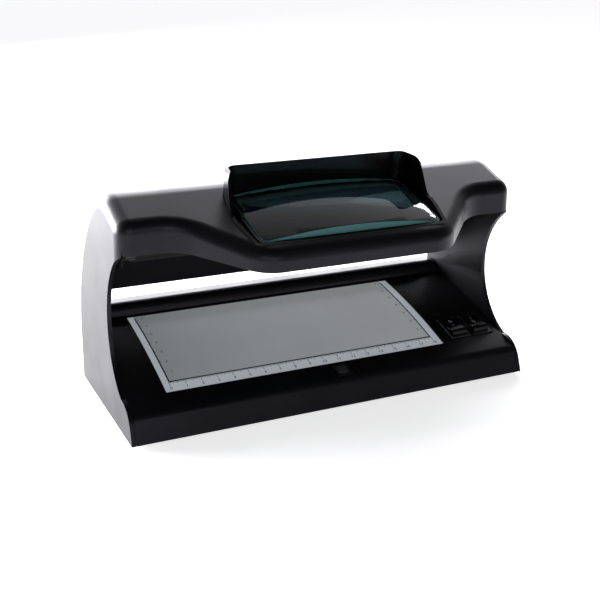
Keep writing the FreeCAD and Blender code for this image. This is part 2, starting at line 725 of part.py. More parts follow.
def base_shell():
    solid = across(base_outline(), -FAR / 2, FAR / 2)
    solid = solid.common(taper_slab(WALL + BASE_GAP, 0, TOP_Z))
    slab = solid.copy()

    def lip_edge(edge):
        point = middle_of(edge)
        along_x = abs(edge.Vertexes[0].Z - edge.Vertexes[-1].Z) < 0.01
        return along_x and abs(point.x) < 1 and point.y < HEEL_Y and point.z > FOOT_HEIGHT + 1

    def ridge_edge(edge):
        point = middle_of(edge)
        return abs(point.x) < 1 and point.z > RIDGE_Z - 0.1 and point.y > BASE_BACK_Y - 0.1

    def rear_corner(edge):
        point = middle_of(edge)
        tall = abs(edge.Vertexes[0].Z - edge.Vertexes[-1].Z) > RIDGE_Z / 2
        return tall and abs(point.x) > WIDTH / 4 and point.y > BASE_BACK_Y - 1

    solid = fillet(solid, LIP_EDGE_R, lip_edge)
    solid = fillet(solid, EDGE_R - WALL - BASE_GAP, rear_corner)
    solid = fillet(solid, RIDGE_EDGE_R, ridge_edge)
    low_y = toe_inner_y(-WALL)
    inside = [(low_y, -WALL), (toe_inner_y(RIDGE_Z), RIDGE_Z), (BASE_BACK_Y - WALL, RIDGE_Z)]
    inside.append((BASE_BACK_Y - WALL, -WALL))
    drum = rod(BASE_ARC_R - WALL, yz(BASE_ARC_Y, BASE_ARC_Z, -FAR / 2), yz(BASE_ARC_Y, BASE_ARC_Z, FAR / 2))
    hollow = across(sharp(inside), -FAR / 2, FAR / 2).common(drum)
    shell = solid.cut(fillet(hollow, LIP_EDGE_R - WALL, lip_edge))

    tray = base_band(PLATE_S0 - TRAY_RIM, PLATE_S1 + TRAY_RIM, WALL / 2,
                     PLATE_SINK + PLATE_THICK + TRAY_FLOOR, PLATE_LEFT - TRAY_RIM, PLATE_RIGHT + TRAY_RIM)
    pocket = base_band(PLATE_S0 - PLATE_GAP, PLATE_S1 + PLATE_GAP, -WALL, PLATE_SINK + PLATE_THICK,
                       PLATE_LEFT - PLATE_GAP, PLATE_RIGHT + PLATE_GAP)
    window = base_band(PLATE_S0 + PLATE_LEDGE, PLATE_S1 - PLATE_LEDGE, -WALL,
                       PLATE_SINK + PLATE_THICK + TRAY_FLOOR + 1,
                       PLATE_LEFT + PLATE_LEDGE, PLATE_RIGHT - PLATE_LEDGE)
    shell = shell.fuse(tray).cut(pocket).cut(window)
    shell = shell.fuse(switch_block(POCKET_MARGIN + WALL / 2, -WALL / 2, -POCKET_DEPTH - WALL))
    shell = shell.cut(switch_block(POCKET_MARGIN, WALL * 4, -POCKET_DEPTH))
    for x in SWITCH_XS:
        half_w = BODY_W / 2 + PANEL_GAP
        half_l = BODY_L / 2 + PANEL_GAP
        shell = shell.cut(place_switch(box(-half_w, half_w, -half_l, half_l, -WALL * 3, WALL), x))
    half = HEAD_WINDOW / 2
    shell = shell.cut(place_head(box(-half, half, -half, half, -WALL * 3, WALL * 3)))
    back = box(INLET_X - INLET_BODY_W / 2 - PANEL_GAP, INLET_X + INLET_BODY_W / 2 + PANEL_GAP,
               BASE_BACK_Y - WALL * 2, BASE_BACK_Y + WALL,
               INLET_Z - INLET_BODY_H / 2 - PANEL_GAP, INLET_Z + INLET_BODY_H / 2 + PANEL_GAP)
    shell = shell.cut(back)
    for x in inlet_screw_xs():
        shell = shell.cut(rod(SCREW_R / 2, yz(BASE_BACK_Y - WALL * 2, INLET_Z, x),
                              yz(BASE_BACK_Y + 1, INLET_Z, x)))
    notch_x = half_width(RIDGE_Z) - WALL - DUCT_DEPTH
    shell = shell.cut(box(-FAR, -notch_x, DUCT_Y0, DUCT_Y1, HOOD_BOSS_TOP, RIDGE_Z))
    for x, y in base_bosses():
        post = rod(BOSS_R, xy(x, y, COVER_TOP), xy(x, y, RIDGE_Z)).common(slab)
        in_tray = base_band(PLATE_S0 - TRAY_RIM, PLATE_S1 + TRAY_RIM, -RIDGE_Z,
                            PLATE_SINK + PLATE_THICK, PLATE_LEFT - 1, PLATE_RIGHT + 1)
        post = post.cut(in_tray)
        shell = shell.fuse(post)
        shell = shell.cut(rod(SCREW_R, xy(x, y, COVER_TOP), xy(x, y, COVER_TOP + SCREW_BITE)))
    return single(shell)


def base_bosses():
    return [(side * BASE_BOSS_X, y) for side in (-1, 1) for y in BASE_BOSS_YS]


def hood_bosses():
    return [(side * hood_boss_x(), y) for side in (-1, 1) for y in HOOD_BOSS_YS]


def inlet_screw_xs():
    return (INLET_X - INLET_SCREW_PITCH / 2, INLET_X + INLET_SCREW_PITCH / 2)


def foot_places():
    x = WIDTH / 2 - FOOT_INSET_X
    ys = (BASE_FRONT_Y + FOOT_INSET_Y, BASE_BACK_Y - FOOT_INSET_Y)
    return [(side * x, y) for side in (-1, 1) for y in ys]


def bottom_cover():
    half = half_width(COVER_TOP) - WALL - BASE_GAP
    cover = box(-half, half, toe_inner_y(COVER_TOP) + BASE_GAP, BASE_BACK_Y - WALL - BASE_GAP,
                FOOT_HEIGHT, COVER_TOP)
    for x, y in base_bosses() + hood_bosses():
        cover = cover.cut(rod(SCREW_R + SCREW_FIT, xy(x, y, 0), xy(x, y, COVER_TOP + 1)))
    for x, y in foot_places():
        cover = cover.cut(rod(FOOT_STEM_R + PANEL_GAP, xy(x, y, 0), xy(x, y, COVER_TOP + 1)))
    for i in range(VENT_COUNT):
        x = (i - (VENT_COUNT - 1) / 2) * VENT_PITCH
        cover = cover.cut(box(x - VENT_W / 2, x + VENT_W / 2, *VENT_YS, 0, COVER_TOP + 1))
    return cover


def rubber_feet():
    feet = []
    for x, y in foot_places():
        pad = rod(FOOT_R, xy(x, y, 0), xy(x, y, FOOT_HEIGHT))
        stem = rod(FOOT_STEM_R, xy(x, y, FOOT_HEIGHT), xy(x, y, COVER_TOP + FOOT_STEM_TIP))
        feet.append(pad.fuse(stem).removeSplitter())
    return group(feet)


def bottom_screws():
    length = COVER_THICK + SCREW_BITE
    return group([upright_screw(x, y, FOOT_HEIGHT, length) for x, y in base_bosses() + hood_bosses()])


# ---------------------------------------------------------------- rocker switches
def rocker_pivot_w():
    """Height of the rocker's axis in the switch frame."""
    return BEZEL_T - POCKET_DEPTH - PIVOT_BELOW_BEZEL


def rocker_half():
    return BODY_W / 2 - SWITCH_WALL - ROCKER_SIDE_GAP


def switch_housing(x):
    top = BEZEL_T - POCKET_DEPTH
    seat = -POCKET_DEPTH
    bezel = box(-BEZEL_W / 2, BEZEL_W / 2, -BEZEL_L / 2, BEZEL_L / 2, seat, top)
    outer_rim = [edge for edge in bezel.Edges if middle_of(edge).z > top - 0.01]
    bezel = bezel.makeFillet(BEZEL_EDGE_R, outer_rim)
    can = box(-BODY_W / 2, BODY_W / 2, -BODY_L / 2, BODY_L / 2, seat - BODY_DEPTH, seat)
    half = rocker_half() + ROCKER_SIDE_GAP
    length = ROCKER_R + ROCKER_END_GAP
    cavity = box(-half, half, -length, length, rocker_pivot_w() - ROCKER_R, top + 1)
    body = bezel.fuse(can).cut(cavity)
    pin_end = half + PIVOT_PIN_LENGTH + PIVOT_FIT - ROCKER_SIDE_GAP
    bore = rod(PIVOT_PIN_R + PIVOT_FIT, xy(-pin_end, 0, rocker_pivot_w()),
               xy(pin_end, 0, rocker_pivot_w()))
    return single(place_switch(body.cut(bore).removeSplitter(), x))




def rocker(x):
    """See-saw key: two flat pads meeting in a shallow valley over the pivot."""
    tip_v = math.sqrt(ROCKER_R ** 2 - ROCKER_TIP ** 2)
    valley = ROCKER_TIP - tip_v * math.tan(math.radians(ROCKER_V))
    tip_angle = math.asin(ROCKER_TIP / ROCKER_R)
    belly_v = math.sqrt(ROCKER_R ** 2 - ROCKER_BELLY ** 2)
    edges = []
    for side in (1, -1):
        tip = yz(side * tip_v, ROCKER_TIP)
        belly = yz(side * belly_v, -ROCKER_BELLY)
        edges.append(Part.Arc(tip, yz(side * ROCKER_R, 0), belly).toShape())
        edges.append(Part.makeLine(tip, yz(0, valley)))
    edges.append(Part.makeLine(yz(belly_v, -ROCKER_BELLY), yz(-belly_v, -ROCKER_BELLY)))
    half = rocker_half()
    key = across(Part.Face(Part.Wire(Part.__sortEdges__(edges))), -half, half)
    rims = [edge for edge in key.Edges if abs(abs(middle_of(edge).x) - half) < 0.01
            and middle_of(edge).z > valley - 0.1]
    key = key.makeFillet(ROCKER_EDGE_R, rims)
    pin = half + PIVOT_PIN_LENGTH
    key = key.fuse(rod(PIVOT_PIN_R, xy(-pin, 0, 0), xy(pin, 0, 0)))
    key.rotate(Vector(0, 0, 0), Vector(1, 0, 0), -ROCKER_TILT)
    key.translate(Vector(0, 0, rocker_pivot_w()))
    return single(place_switch(key.removeSplitter(), x))


def switch_terminals(x):
    top = -POCKET_DEPTH - BODY_DEPTH
    blades = []
    for i in (-1, 0, 1):
        y = i * TERMINAL_PITCH
        blade = box(-TERMINAL_W / 2, TERMINAL_W / 2, y - TERMINAL_T / 2, y + TERMINAL_T / 2,
                    top - TERMINAL_L, top)
        hole = rod(0.8, yz(y - 1, top - TERMINAL_L * 0.6), yz(y + 1, top - TERMINAL_L * 0.6))
        blades.append(place_switch(blade.cut(hole), x))
    return group(blades)


# ---------------------------------------------------------------- magnetic head
def head_bezel():
    outer = HEAD_BEZEL / 2
    neck = HEAD_WINDOW / 2 - PANEL_GAP
    inner = HEAD_BLOCK / 2 + PANEL_GAP
    rim = box(-outer, outer, -outer, outer, HEAD_BEZEL_SEAT, HEAD_BEZEL_PROUD)
    collar = box(-neck, neck, -neck, neck, -WALL - 1, HEAD_BEZEL_SEAT)
    return place_head(rim.fuse(collar).cut(box(-inner, inner, -inner, inner, -WALL * 3, WALL)))


def head_core_plain():
    half = HEAD_BLOCK / 2
    y = HEAD_CORE_R - half + HEAD_CORE_INSET
    ring = rod(HEAD_CORE_R, xy(0, y, -HEAD_DEPTH + 1), xy(0, y, HEAD_CORE_PROUD))
    ring = ring.cut(rod(HEAD_CORE_R - HEAD_CORE_T, xy(0, y, -HEAD_DEPTH), xy(0, y, 1)))
    return ring.common(box(-half, half, -half, y, -HEAD_DEPTH, 1))


def magnetic_head():
    half = HEAD_BLOCK / 2
    block = box(-half, half, -half, half, -HEAD_DEPTH, 0.0)
    return place_head(block.cut(head_core_plain()))


def head_spring():
    half = HEAD_BLOCK / 2
    reach = half + HEAD_SPRING_REACH
    strip = box(-reach, reach, -HEAD_SPRING_W / 2, HEAD_SPRING_W / 2, -HEAD_DEPTH - HEAD_SPRING_T, -HEAD_DEPTH)
    return place_head(strip)


def sensor_board():
    width, depth = SENSOR_BOARD
    y0 = toe_inner_y(COVER_TOP) + SENSOR_BOARD_GAP
    z0 = COVER_TOP + SENSOR_BOARD_LIFT
    return box(HEAD_X - width / 2, HEAD_X + width / 2, y0, y0 + depth, z0, z0 + BOARD_T)


# ---------------------------------------------------------------- lamps
def lamp_tube(y, z):
    end = TUBE_LENGTH / 2 - CAP_LENGTH
    radius = TUBE_R - CAP_LIP
    glass = rod(radius, yz(y, z, -end), yz(y, z, end))
    return glass.cut(rod(radius - TUBE_GLASS_T, yz(y, z, -end - 1), yz(y, z, end + 1)))


def lamp_caps(y, z):
    caps = []
    for side in (-1, 1):
        inner = side * (TUBE_LENGTH / 2 - CAP_LENGTH)
        outer = side * TUBE_LENGTH / 2
        cap = rod(TUBE_R, yz(y, z, inner), yz(y, z, outer))
        for dz in (-PIN_PITCH / 2, PIN_PITCH / 2):
            tip = outer + side * PIN_LENGTH
            cap = cap.fuse(rod(PIN_R, yz(y, z + dz, outer), yz(y, z + dz, tip)))
        caps.append(cap)
    return group(caps)


def lampholders(y, z):
    holders = []
    for side in (-1, 1):
        x0 = side * (TUBE_LENGTH / 2 + HOLDER_GAP)
        x1 = x0 + side * HOLDER_T
        half = HOLDER_W / 2
        block = box(min(x0, x1), max(x0, x1), y - half, y + half, z - half, z + half)
        long_edges = [edge for edge in block.Edges if abs(middle_of(edge).x - (x0 + x1) / 2) < 0.01]
        block = block.makeFillet(HOLDER_EDGE_R, long_edges)
        for dz in (-PIN_PITCH / 2, PIN_PITCH / 2):
            start = yz(y, z + dz, x0 - side)
            block = block.cut(rod(PIN_R + HOLDER_PIN_FIT, start, yz(y, z + dz, x1 - side)))
        holders.append(block)
    return group(holders)


def uv_reflector():
    half = TUBE_LENGTH / 2 - UV_SHEET_MARGIN
    return bent_sheet(UV_SHEET, SHEET_T, -half, half)


def white_reflector():
    half = TUBE_LENGTH / 2 - WHITE_SHEET_MARGIN
    return bent_sheet(WHITE_SHEET, SHEET_T, -half, half)


# ---------------------------------------------------------------- ballast board
BOARD_Z = COVER_TOP + BOARD_LIFT
BOARD_TOP = BOARD_Z + BOARD_T


def board_places():
    xs = (-BOARD_HALF + BOARD_SCREW_INSET, BOARD_HALF - BOARD_SCREW_INSET)
    ys = (BOARD_Y0 + BOARD_SCREW_INSET, BOARD_Y1 - BOARD_SCREW_INSET)
    return [(x, y) for x in xs for y in ys]


def ballast_board():
    board = box(-BOARD_HALF, BOARD_HALF, BOARD_Y0, BOARD_Y1, BOARD_Z, BOARD_TOP)
    for x, y in board_places():
        board = board.cut(rod(SCREW_R + SCREW_FIT, xy(x, y, 0), xy(x, y, RIDGE_Z)))
    return board


def board_spacers():
    spacers = []
    for x, y in board_places():
        spacer = rod(BOSS_R, xy(x, y, COVER_TOP), xy(x, y, BOARD_Z))
        spacers.append(spacer.cut(rod(SCREW_R, xy(x, y, 0), xy(x, y, RIDGE_Z))))
    return group(spacers)


def board_screws():
    screws = []
    for x, y in board_places():
        head = rod(SCREW_HEAD_R, xy(x, y, BOARD_TOP), xy(x, y, BOARD_TOP + SCREW_HEAD_T))
        screws.append(head.fuse(rod(SCREW_R, xy(x, y, COVER_TOP), xy(x, y, BOARD_TOP))))
    return group(screws)


def on_board(x, y, size):
    width, depth, height = size
    return box(x - width / 2, x + width / 2, y - depth / 2, y + depth / 2,
               BOARD_TOP, BOARD_TOP + height)


def ballast_chokes():
    return group([on_board(x, CHOKE_Y, CHOKE_SIZE) for x in CHOKE_XS])


def ballast_capacitors():
    cans = [rod(r, xy(x, CAP_Y, BOARD_TOP), xy(x, CAP_Y, BOARD_TOP + h)) for x, r, h in CAP_SIZES]
    return group([can.makeFillet(CAN_EDGE_R, can.Edges[:1]) for can in cans])


def ballast_transistors():
    return group([on_board(x, CHOKE_Y, TRANSISTOR_SIZE) for x in TRANSISTOR_XS])


def wire_connector():
    return on_board(0, CONNECTOR_Y, CONNECTOR_SIZE)


# ---------------------------------------------------------------- mains inlet
def inlet_socket_plan(radius):
    """Two round holes joined into one slot, seen from behind."""
    half = INLET_PIN_PITCH / 2 + radius
    corners = [(-half, -radius, radius * 0.98), (half, -radius, radius * 0.98)]
    corners += [(half, radius, radius * 0.98), (-half, radius, radius * 0.98)]

    def point(a, b):
        return Vector(INLET_X + a, 0, INLET_Z + b)

    return rounded(corners, point)


def mains_inlet():
    face_y = BASE_BACK_Y + INLET_FLANGE_T
    flange = box(INLET_X - INLET_FLANGE_W / 2, INLET_X + INLET_FLANGE_W / 2, BASE_BACK_Y, face_y,
                 INLET_Z - INLET_FLANGE_H / 2, INLET_Z + INLET_FLANGE_H / 2)
    body = box(INLET_X - INLET_BODY_W / 2, INLET_X + INLET_BODY_W / 2,
               BASE_BACK_Y - INLET_BODY_DEPTH, BASE_BACK_Y,
               INLET_Z - INLET_BODY_H / 2, INLET_Z + INLET_BODY_H / 2)
    socket = inlet_socket_plan(INLET_SOCKET_R)
    socket.translate(Vector(0, face_y - INLET_SOCKET_DEPTH, 0))
    inlet = flange.fuse(body).cut(socket.extrude(Vector(0, INLET_SOCKET_DEPTH + 1, 0)))
    for x in inlet_screw_xs():
        hole = rod(SCREW_R / 2 + SCREW_FIT / 2, yz(BASE_BACK_Y - 1, INLET_Z, x),
                   yz(face_y + 1, INLET_Z, x))
        inlet = inlet.cut(hole)
    for x in inlet_pin_xs():
        inlet = inlet.cut(rod(INLET_PIN_R, yz(0, INLET_Z, x), yz(BASE_BACK_Y, INLET_Z, x)))
    return single(inlet.removeSplitter())


def inlet_pin_xs():
    return (INLET_X - INLET_PIN_PITCH / 2, INLET_X + INLET_PIN_PITCH / 2)


def inlet_pins():
    inner = BASE_BACK_Y - INLET_BODY_DEPTH - INLET_TAG_LENGTH
    floor = BASE_BACK_Y + INLET_FLANGE_T - INLET_SOCKET_DEPTH
    pins = []
    for x in inlet_pin_xs():
        pins.append(rod(INLET_PIN_R, yz(inner, INLET_Z, x), yz(floor + INLET_PIN_LENGTH, INLET_Z, x)))
    return group(pins)


def inlet_screws():
    face_y = BASE_BACK_Y + INLET_FLANGE_T
    screws = []
    for x in inlet_screw_xs():
        head = rod(SCREW_HEAD_R * 0.6, yz(face_y, INLET_Z, x), yz(face_y + 0.5, INLET_Z, x))
        shank = rod(SCREW_R / 2, yz(BASE_BACK_Y - WALL * 2, INLET_Z, x), yz(face_y, INLET_Z, x))
        screws.append(head.fuse(shank))
    return group(screws)


# ---------------------------------------------------------------- wiring to the hood
def duct_shape(y0, y1, depth0, depth1, top_z):
    slot = box(-FAR, 0, y0, y1, RIDGE_Z, top_z)
    return slot.common(taper_slab(WALL + depth0, 0, TOP_Z)).cut(taper_slab(WALL + depth1, 0, TOP_Z))


def wiring_duct():
    outer = duct_shape(DUCT_Y0, DUCT_Y1, 0.0, DUCT_DEPTH, DUCT_TOP_Z)
    inner = box(-FAR, 0, DUCT_Y0 + DUCT_WALL, DUCT_Y1 - DUCT_WALL, 0, TOP_Z)
    inner = inner.common(taper_slab(WALL, 0, TOP_Z)).cut(
        taper_slab(WALL + DUCT_DEPTH - DUCT_WALL, 0, TOP_Z))
    return single(outer.cut(inner))


def lead_rods(radius):
    """The two insulated leads that climb the left side wall behind the duct."""
    leads = []
    for y in (DUCT_Y0 + 2.9, DUCT_Y1 - 2.9):
        ends = []
        for z in (RIDGE_Z - WALL * 7, DUCT_TOP_Z - WALL):
            ends.append(yz(y, z, -(half_width(z) - WALL - DUCT_DEPTH / 2 + DUCT_WALL / 2)))
        leads.append(rod(radius, ends[0], ends[1]))
    return leads


# ---------------------------------------------------------------- write the nodes
os.makedirs("parts", exist_ok=True)

export("hood_shell", hood_shell())
export("lens_guard", lens_guard())
export("magnifier_lens", magnifier_lens())
export("lens_retainer", lens_retainer())
export("base_shell", base_shell())
export("bottom_cover", bottom_cover())
export("bottom_screws", bottom_screws())
export("rubber_feet", rubber_feet())

plate = base_band(PLATE_S0, PLATE_S1, PLATE_SINK, PLATE_SINK + PLATE_THICK, PLATE_LEFT, PLATE_RIGHT)
export("measuring_plate", plate)

guard_screws = [upright_screw(x, y, lug_top_z(y) - LUG_T, LUG_T + SCREW_BITE / 2) for x, y in GUARD_LUGS]
export("lens_guard_screws", group(guard_screws))
retainer_screws = []
for x, y in RETAINER_SCREWS:
    under = lens_plane_z(y) - LEDGE_T - RETAINER_T - 0.6
    retainer_screws.append(upright_screw(x, y, under, RETAINER_T + LEDGE_T, SCREW_R / 2))
export("lens_retainer_screws", group(retainer_screws))

for name, x in zip(("left", "right"), SWITCH_XS):
    export(name + "_switch_housing", switch_housing(x))
    export(name + "_rocker", rocker(x))
    export(name + "_switch_terminals", switch_terminals(x))

export("head_bezel", head_bezel())
export("magnetic_head", magnetic_head())
export("head_core", place_head(head_core_plain()))
export("head_spring", head_spring())
export("sensor_board", sensor_board())

for name, (y, z) in UV_TUBES.items():
    export("uv_tube_" + name, lamp_tube(y, z))
    export("uv_tube_" + name + "_caps", lamp_caps(y, z))
    export("uv_lampholders_" + name, lampholders(y, z))
export("white_tube", lamp_tube(*WHITE_TUBE_YZ))
export("white_tube_caps", lamp_caps(*WHITE_TUBE_YZ))
export("white_lampholders", lampholders(*WHITE_TUBE_YZ))
export("uv_reflector", uv_reflector())
export("white_reflector", white_reflector())

export("ballast_board", ballast_board())
export("board_spacers", board_spacers())
export("board_screws", board_screws())
export("ballast_chokes", ballast_chokes())
export("ballast_capacitors", ballast_capacitors())
export("ballast_transistors", ballast_transistors())
export("wire_connector", wire_connector())

export("mains_inlet", mains_inlet())
export("inlet_pins", inlet_pins())
export("inlet_screws", inlet_screws())
export("wiring_duct", wiring_duct())
export("hood_leads", group(lead_rods(LEADS_R)))
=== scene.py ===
import json
import math

import bpy
from mathutils import Matrix, Vector

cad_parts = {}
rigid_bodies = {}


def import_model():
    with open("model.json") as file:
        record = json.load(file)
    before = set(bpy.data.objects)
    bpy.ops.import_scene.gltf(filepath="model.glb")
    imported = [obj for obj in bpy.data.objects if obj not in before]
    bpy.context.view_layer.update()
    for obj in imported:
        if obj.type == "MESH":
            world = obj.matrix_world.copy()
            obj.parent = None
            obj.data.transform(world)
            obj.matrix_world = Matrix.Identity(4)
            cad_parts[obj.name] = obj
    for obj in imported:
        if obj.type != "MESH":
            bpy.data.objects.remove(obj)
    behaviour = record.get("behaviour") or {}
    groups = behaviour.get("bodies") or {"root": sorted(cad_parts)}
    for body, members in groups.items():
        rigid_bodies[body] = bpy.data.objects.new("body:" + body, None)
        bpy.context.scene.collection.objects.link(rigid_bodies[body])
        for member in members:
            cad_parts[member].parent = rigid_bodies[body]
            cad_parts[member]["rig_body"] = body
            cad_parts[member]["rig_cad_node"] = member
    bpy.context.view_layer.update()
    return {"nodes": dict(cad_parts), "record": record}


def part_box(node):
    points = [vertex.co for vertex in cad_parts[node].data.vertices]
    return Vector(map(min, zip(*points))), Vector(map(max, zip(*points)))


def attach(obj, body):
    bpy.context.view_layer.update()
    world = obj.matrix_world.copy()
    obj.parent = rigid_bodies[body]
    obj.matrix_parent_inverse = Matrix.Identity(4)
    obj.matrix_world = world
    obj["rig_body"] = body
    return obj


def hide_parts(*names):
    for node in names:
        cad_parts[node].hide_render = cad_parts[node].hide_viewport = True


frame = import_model()

MM = 0.001

# Specular levels of the etched black plastic and of the guard and keys.
ETCHED_SPECULAR = 0.25
GUARD_SPECULAR = 0.13
GRAIN_STRENGTH = 0.35
DRIFT_MM = 28
# Strength of the painted glow on the opal plate: it shines though no lamp lights it.
PLATE_PAINTED_GLOW = 0.3

# ------------------------------------------------------------------ places and sizes
PLATE_LOW, PLATE_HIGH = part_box("measuring_plate")

# The base's arched top is part of a cylinder along X, with this slope at the scale's front line.
ARC_RADIUS = 450 * MM
SCALE_FRONT_Y = -22 * MM
SCALE_SLOPE = math.radians(17.65)
ARC_Y = SCALE_FRONT_Y + ARC_RADIUS * math.sin(SCALE_SLOPE)

# The printed scale: 18 cm along the front, 7 cm back, zero at the left.
SCALE_LEFT_X = -101.1 * MM
SCALE_LENGTH_CM = 18
SCALE_DEPTH_CM = 7
SCALE_RIGHT_X = SCALE_LEFT_X + SCALE_LENGTH_CM * 10 * MM
LINE_W = 0.9 * MM
TICK_W = 0.3 * MM
CM_TICK = 3.0 * MM
HALF_CM_TICK = 1.7 * MM
MM_TICK = 1.0 * MM
SIDE_CM_TICK = 2.2 * MM
SIDE_MM_TICK = 0.9 * MM
DIGIT = 3.2 * MM
FRONT_DIGIT_S = -5.3 * MM
SIDE_DIGIT_BACK = 0.6 * MM
LEFT_DIGIT_IN = 5 * MM
RIGHT_DIGIT_IN = 4.6 * MM
LINE_CUTS = 40
DASH_CUTS = 3
PRINT_LIFT = 0.05 * MM
PRINT_START = 5 * MM

# The marks on the keys, with their places as shares of a key's depth.
RING_RADIUS = 1.15 * MM
RING_LINE_SHARE = 0.28
DASH_LONG = 1.1 * MM
DASH_THIN = 0.16 * MM
BACK_MARK_SHARE = 0.76
RIDGE_MARK_SHARE = 0.56
MARK_START = 4 * MM

# Welding, edge breaking and smoothing of the finished mouldings.
LENS_NODE = "magnifier_lens"
WELD = 0.002 * MM
FLAT_ANGLE = math.radians(0.2)
EDGE_ANGLE = math.radians(50)
SMOOTH_ANGLE = math.radians(30)
UPRIGHT_NORMAL_Z = 0.5

# Each softbox: name, place, what it faces, width and height, watts.
SOFTBOXES = (
    ("back", (0.4, 1.6, 0.8), (0, 0.05, 0.1), (2.6, 0.9), 60),
    ("left_side", (-1.0, 1.25, 0.3), (-0.12, 0, 0.07), (1.8, 0.6), 130),
    ("front", (-0.3, -1.7, 0.75), (0, 0, 0.04), (1.4, 0.25), 6),
)
SOFTBOX_COLOUR = (0.96, 0.96, 1)
ROOM_COLOUR = (0.95, 0.95, 1, 1)
FLOOR_SIZE = 14
PAPER_GLOW = 0.7

EYE_PLACE = (-0.2693, -0.5598, 0.2771)
EYE_TURN = math.radians(-25.2)
EYE_TILT = math.radians(90 - 19.72)
EYE_ROLL = math.radians(0.58)
EYE_LENS_MM = 62.33
EYE_SENSOR_MM = 36


def arc_y(s):
    """Place along Y of a point s metres up the arched top from the scale's front line."""
    return ARC_Y - ARC_RADIUS * math.sin(SCALE_SLOPE - s / ARC_RADIUS)


# ------------------------------------------------------------------ material helpers
def linear(hex_colour, alpha=1.0):
    """An sRGB hex colour as linear light."""
    parts = [int(hex_colour[i:i + 2], 16) / 255 for i in (1, 3, 5)]
    return [c / 12.92 if c <= 0.04045 else ((c + 0.055) / 1.055) ** 2.4 for c in parts] + [alpha]


def add(tree, kind, inputs=None, **settings):
    """Adds a node with its settings; an input is a value or another node's socket."""
    node = tree.nodes.new("ShaderNode" + kind)
    for name, value in settings.items():
        setattr(node, name, value)
    for name, value in (inputs or {}).items():
        socket = node.inputs[name]
        if isinstance(value, bpy.types.NodeSocket):
            tree.links.new(value, socket)
        else:
            socket.default_value = value
    return node


def material(name, shader):
    """A node material: shader(tree) returns the inputs of its Principled BSDF."""
    made = bpy.data.materials.new(name)
    made.use_nodes = True
    tree = made.node_tree
    tree.nodes.clear()
    surface = add(tree, "BsdfPrincipled", shader(tree))
    out = add(tree, "OutputMaterial")
    tree.links.new(surface.outputs["BSDF"], out.inputs["Surface"])
    return made


def object_place(tree, millimetres):
    """Object coordinates scaled so that one unit is the given size."""
    place = add(tree, "TexCoord").outputs["Object"]
    scale = [1 / (millimetres * MM)] * 3
    return add(tree, "Mapping", {"Vector": place, "Scale": scale}).outputs["Vector"]


def ramp(tree, fac, stops):
    node = add(tree, "ValToRGB", {"Fac": fac})
    elements = node.color_ramp.elements
    while len(elements) < len(stops):
        elements.new(0.5)
    for element, (position, colour) in zip(elements, stops):
        element.position = position
        element.color = colour
    return node.outputs["Color"]


def moulded(hex_colour, roughness, grain_mm, grain_depth, blotch=0.06, specular=0.5, sheen_hex="#ffffff"):
    """Moulded plastic: even colour, a fine tool grain in its bump, roughness that drifts a little."""
    def shader(tree):
        grain = add(tree, "TexNoise", {"Vector": object_place(tree, grain_mm), "Scale": 1.0,
                                       "Detail": 3.0, "Roughness": 0.6}).outputs["Fac"]
        drift = add(tree, "TexNoise", {"Vector": object_place(tree, DRIFT_MM), "Scale": 1.0,
                                       "Detail": 2.0}).outputs["Fac"]
        rough = add(tree, "MapRange", {"Value": drift, "From Min": 0.3, "From Max": 0.7,
                                       "To Min": roughness - blotch / 2,
                                       "To Max": roughness + blotch / 2}).outputs["Result"]
        bump = add(tree, "Bump", {"Height": grain, "Strength": GRAIN_STRENGTH,
                                  "Distance": grain_depth * MM}).outputs["Normal"]
        return {"Base Color": linear(hex_colour), "Roughness": rough, "IOR": 1.54, "Normal": bump,
                "Specular IOR Level": specular, "Specular Tint": linear(sheen_hex)}
    return shader


def metal(hex_colour, roughness, streak_mm=(20, 0.5, 0.5)):
    """Sheet or turned metal with fine drawing marks along one axis."""
    def shader(tree):
        place = add(tree, "TexCoord").outputs["Object"]
        scale = [1 / (s * MM) for s in streak_mm]
        stretched = add(tree, "Mapping", {"Vector": place, "Scale": scale}).outputs["Vector"]
        marks = add(tree, "TexNoise", {"Vector": stretched, "Scale": 1.0,
                                       "Detail": 2.0}).outputs["Fac"]
        rough = add(tree, "MapRange", {"Value": marks, "To Min": roughness * 0.75,
                                       "To Max": roughness * 1.25}).outputs["Result"]
        return {"Base Color": linear(hex_colour), "Metallic": 1.0, "Roughness": rough}
    return shader


# ------------------------------------------------------------------ materials
def satin_abs():
    """Black ABS from a lightly etched mould: near black face on, violet-grey satin at a glance."""
    return material("abs_satin_black", moulded("#0c0c0e", 0.36, 0.35, 0.02, 0.06,
                                               ETCHED_SPECULAR, "#ece8f6"))


def gloss_abs():
    """Black ABS from a smoother mould, as on the lens guard and the keys: tighter reflections."""
    return material("abs_gloss_black", moulded("#050506", 0.2, 0.9, 0.004, 0.04, GUARD_SPECULAR))


def matte_abs():
    """Coarser etched ABS on the cover, the retainer and the duct."""
    return material("abs_matte_black", moulded("#0e0e0f", 0.55, 0.5, 0.05, 0.06, ETCHED_SPECULAR))


def nylon_black():
    """Black nylon of switch bodies, lampholders, mains inlet and lead sleeves: dull and even. On the
    lampholders inside the hood the black is also painted shade.
    """
    return material("nylon_black", moulded("#0d0d0e", 0.36, 0.25, 0.02))


def nylon_white():
    """Natural white nylon of the board spacers and the wire connector."""
    return material("nylon_white", moulded("#e4e1d6", 0.45, 0.4, 0.02))


def tinted_glass():
    """Ground and polished crown glass with a sea-green tint."""
    def shader(tree):
        return {"Base Color": linear("#8cc4c2"), "Roughness": 0.0, "IOR": 1.52,
                "Transmission Weight": 1.0}
    return material("crown_glass_green", shader)


